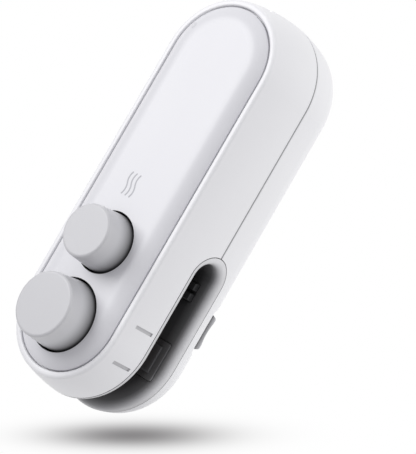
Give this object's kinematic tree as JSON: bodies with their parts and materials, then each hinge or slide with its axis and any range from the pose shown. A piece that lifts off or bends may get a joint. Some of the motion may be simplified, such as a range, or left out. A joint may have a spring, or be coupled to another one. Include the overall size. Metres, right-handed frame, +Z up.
{
  "type": "handheld bag heat sealer",
  "caption": "Capsule-shaped handheld heat sealer with an open jaw at one end, a press button for the heat head, a press button for the cutter and a slide switch.",
  "frame": {"origin": "middle of the flat back, level with the four low pads that the sealer lies on", "axes": "+Z up through the buttons, +Y along the body from the open jaw to the charging port, +X across"},
  "size_m": [0.0476, 0.1352, 0.0535],
  "materials": {
    "housing": "satin moulded plastic",
    "panel": "satin moulded plastic",
    "mark": "matte printed inlay",
    "light_pipe": "milky light-guide plastic",
    "liner": "satin moulded plastic",
    "button": "satin moulded plastic",
    "knob": "satin moulded plastic",
    "inner_frame": "moulded plastic",
    "heat_plastic": "heat-proof moulded plastic",
    "screw_steel": "plated steel",
    "spring_steel": "drawn steel wire",
    "bar_ceramic": "fired ceramic",
    "heating_alloy": "rolled alloy ribbon",
    "heat_cloth": "coated glass cloth",
    "contact_brass": "rolled brass",
    "blade_steel": "ground steel",
    "anvil_plastic": "moulded plastic",
    "silicone": "soft moulded rubber",
    "cell_wrap": "shrunk sleeve",
    "board_green": "coated circuit board",
    "chip_black": "moulded package",
    "socket_steel": "formed steel",
    "wire_red": "wire sleeve"
  },
  "bodies": {
    "case": {"upper_shell": "housing", "lower_shell": "housing", "top_panel": "panel", "heat_mark": "mark", "led_light_pipe": "light_pipe", "jaw_liner": "liner", "press_frame": "inner_frame", "frame_screws": "screw_steel", "seal_spring": "spring_steel", "cut_spring": "spring_steel", "contact_wipers": "contact_brass", "cutter_anvil": "anvil_plastic", "pad_tray": "anvil_plastic", "pressure_pad": "silicone", "battery_cell": "cell_wrap", "battery_cradle": "inner_frame", "battery_leads": "wire_red", "control_board": "board_green", "board_chips": "chip_black", "board_screws": "screw_steel", "indicator_led": "light_pipe", "usb_socket": "socket_steel", "heater_leads": "wire_red", "switch_leads": "wire_red", "power_switch_body": "chip_black", "case_screws": "screw_steel"},
    "seal_press": {"seal_button": "button", "seal_stem_screw": "screw_steel", "heater_holder": "heat_plastic", "guide_pins": "contact_brass", "heater_bar": "bar_ceramic", "heating_strip": "heating_alloy", "heater_cover": "heat_cloth", "heater_clamps": "contact_brass"},
    "cut_press": {"cut_button": "button", "cut_stem_screw": "screw_steel", "blade_holder": "heat_plastic", "cutter_blade": "blade_steel"},
    "power_slide": {"power_switch_knob": "knob", "power_switch_slider": "knob"}
  },
  "joints": [
    {"name": "seal_press_slide", "type": "slide", "parent": "case", "child": "seal_press", "axis": [0, 0, -1], "range_m": [0, 0.0093], "stiffness_N_per_m": 450, "springref_m": -0.004, "deforming": ["seal_spring"]},
    {"name": "cut_press_slide", "type": "slide", "parent": "case", "child": "cut_press", "axis": [0, 0, -1], "range_m": [0, 0.0097], "stiffness_N_per_m": 350, "springref_m": -0.004, "deforming": ["cut_spring"]},
    {"name": "power_switch_slide", "type": "slide", "parent": "case", "child": "power_slide", "axis": [0, 1, 0], "range_m": [-0.0008, 0.0008]}
  ]
}
